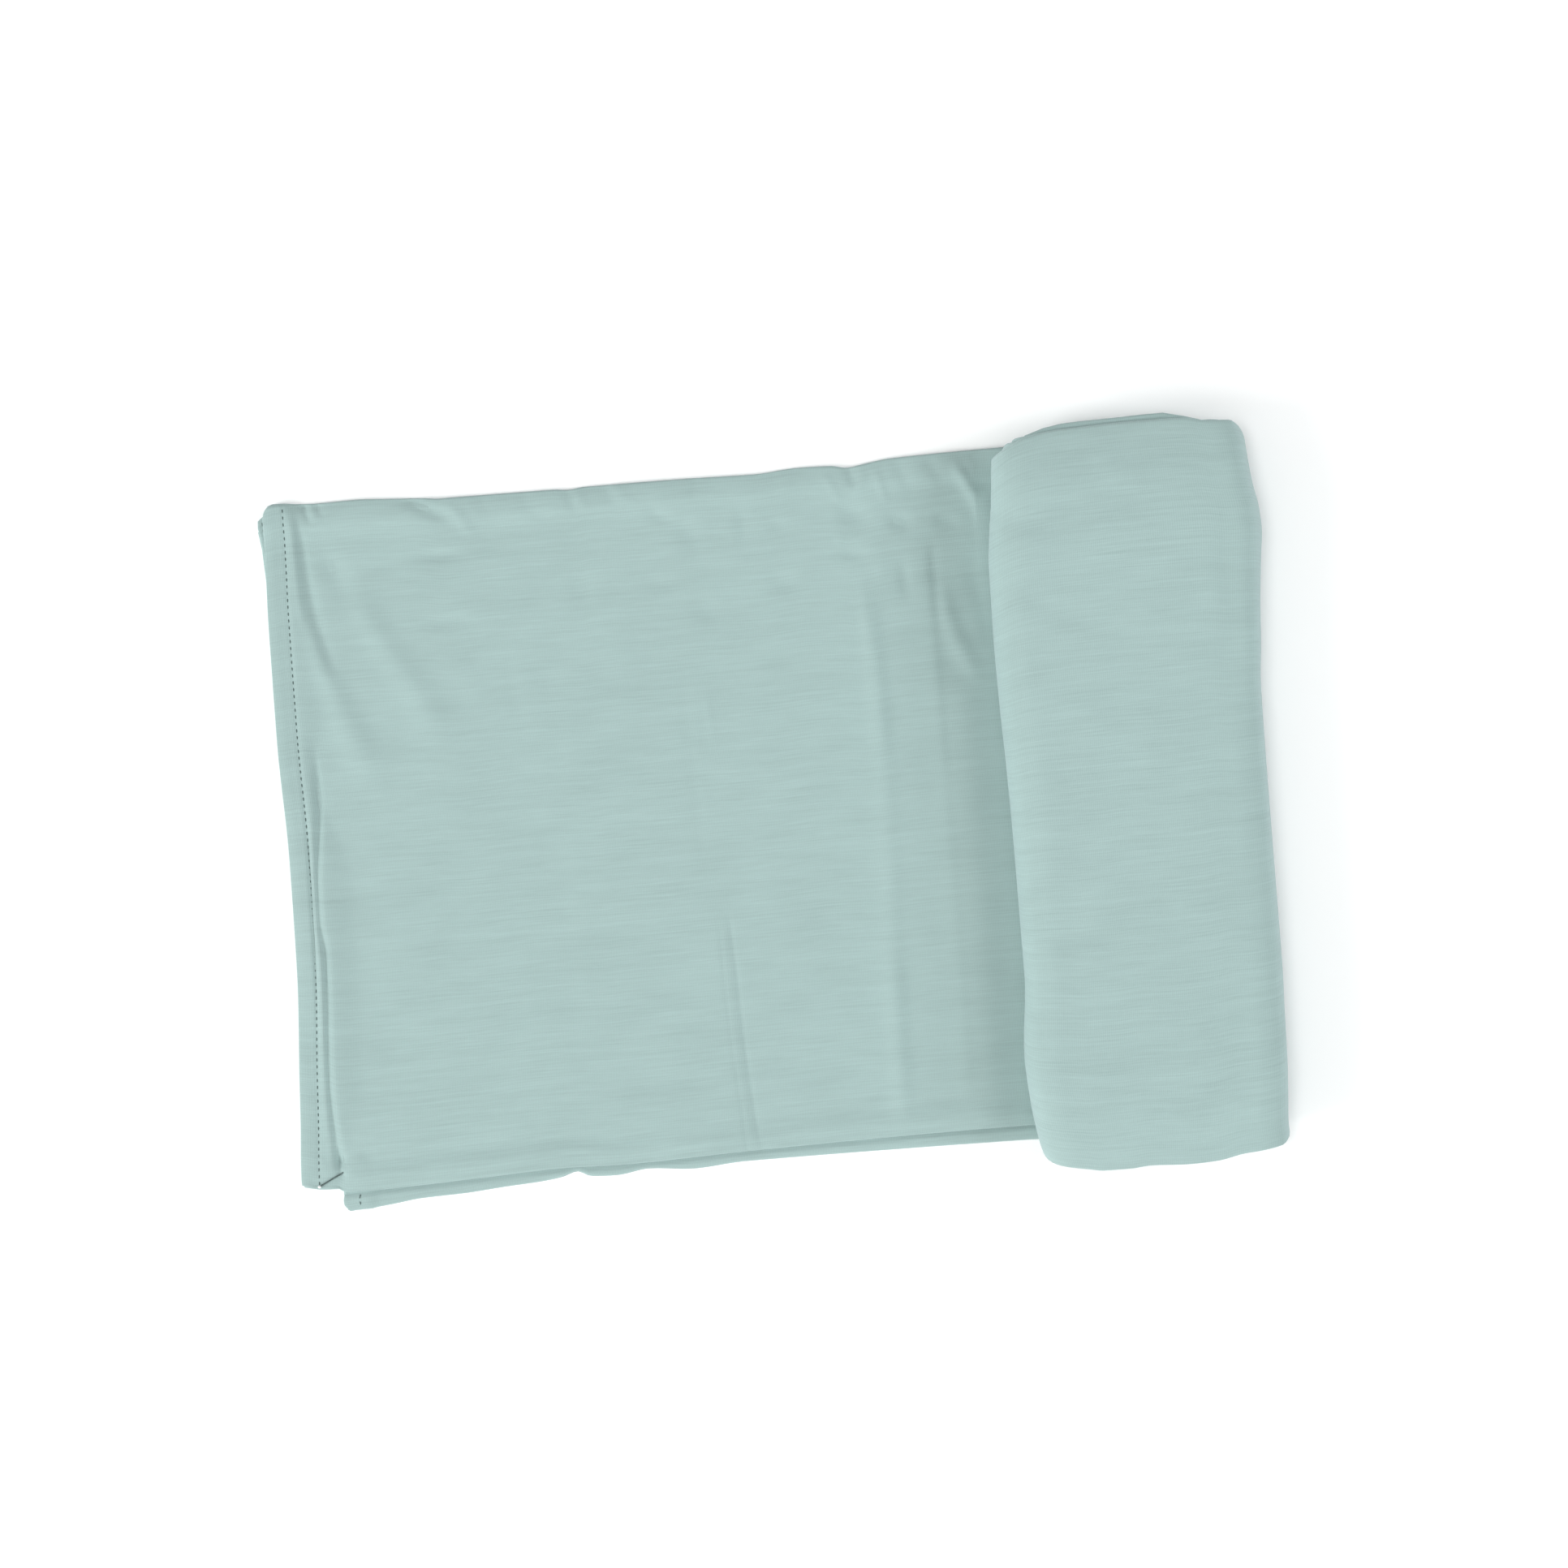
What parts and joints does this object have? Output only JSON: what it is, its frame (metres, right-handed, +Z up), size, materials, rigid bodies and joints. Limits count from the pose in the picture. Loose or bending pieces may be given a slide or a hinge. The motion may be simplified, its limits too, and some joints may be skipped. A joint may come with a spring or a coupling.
{
  "type": "baby wrap",
  "caption": "Plain stretch-jersey baby wrap with machine-stitched hems, folded lengthways into a flat strip, part rolled from one end and pinned at its hemmed corner.",
  "frame": {"origin": "on the resting surface, under the middle of the folded wrap's bounding box", "axes": "+X along the folded strip from its hemmed end to the roll, +Y across the strip towards the fold that all plies share, +Z up from the surface"},
  "size_m": [0.432, 0.324, 0.03],
  "materials": {
    "jersey": "matte",
    "thread": "matte",
    "pin_shaft_steel": "satin",
    "pin_head_steel": "polished"
  },
  "bodies": {
    "tail": {"front_ply": "jersey", "inner_front_ply": "jersey", "inner_back_ply": "jersey", "back_ply": "jersey", "top_fold": "jersey", "lower_front_fold": "jersey", "lower_back_fold": "jersey", "front_end_hem": "jersey", "inner_front_end_hem": "jersey", "inner_back_end_hem": "jersey", "back_end_hem": "jersey", "front_hem_stitches": "thread", "inner_front_hem_stitches": "thread", "inner_back_hem_stitches": "thread", "back_hem_stitches": "thread", "inner_front_side_hem": "jersey", "inner_back_side_hem": "jersey"},
    "roll": {"outer_turn": "jersey", "second_turn": "jersey", "third_turn": "jersey", "core_turn": "jersey", "far_end_hem": "jersey", "far_hem_stitches": "thread"},
    "pin": {"pin_shaft": "pin_shaft_steel", "pin_head": "pin_head_steel"}
  },
  "joints": [
    {"name": "roll_travel", "type": "slide", "parent": "tail", "child": "roll", "axis": [1, 0, 0], "range_m": [0, 0.06]},
    {"name": "pin_slide", "type": "slide", "parent": "tail", "child": "pin", "axis": [-0.8908, -0.4461, 0.0872], "range_m": [0, 0.03]}
  ]
}
